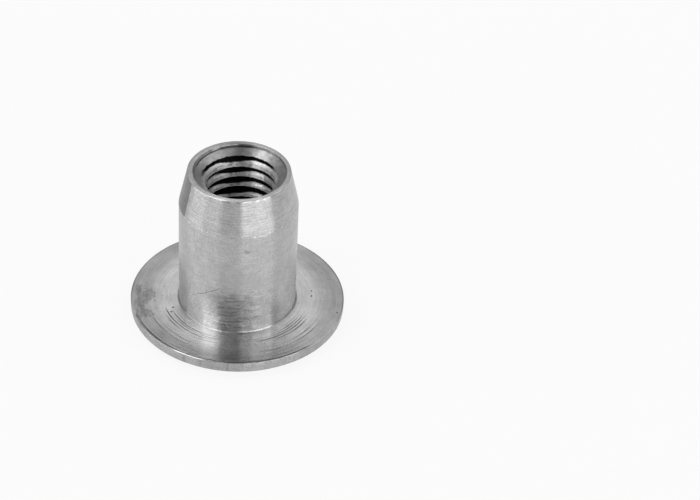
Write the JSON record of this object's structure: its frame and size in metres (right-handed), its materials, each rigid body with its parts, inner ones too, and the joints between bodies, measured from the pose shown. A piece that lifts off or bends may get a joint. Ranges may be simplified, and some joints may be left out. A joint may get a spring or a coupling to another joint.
{
  "type": "sleeve nut",
  "caption": "Flat-headed sleeve nut with a plain sleeve, a tapered nose, a blind metric thread from the open end and a hexagon socket in the head.",
  "frame": {"origin": "centre of the head's flat outer face, on which the nut stands", "axes": "+Z along the axis from the head to the open threaded end, +Y towards a corner of the hexagon socket"},
  "size_m": [0.021, 0.021, 0.0167],
  "materials": {
    "steel": "satin turned stainless steel, neutral grey, with fine concentric tool marks"
  },
  "bodies": {
    "root": {"sleeve_nut": "steel"}
  },
  "joints": []
}
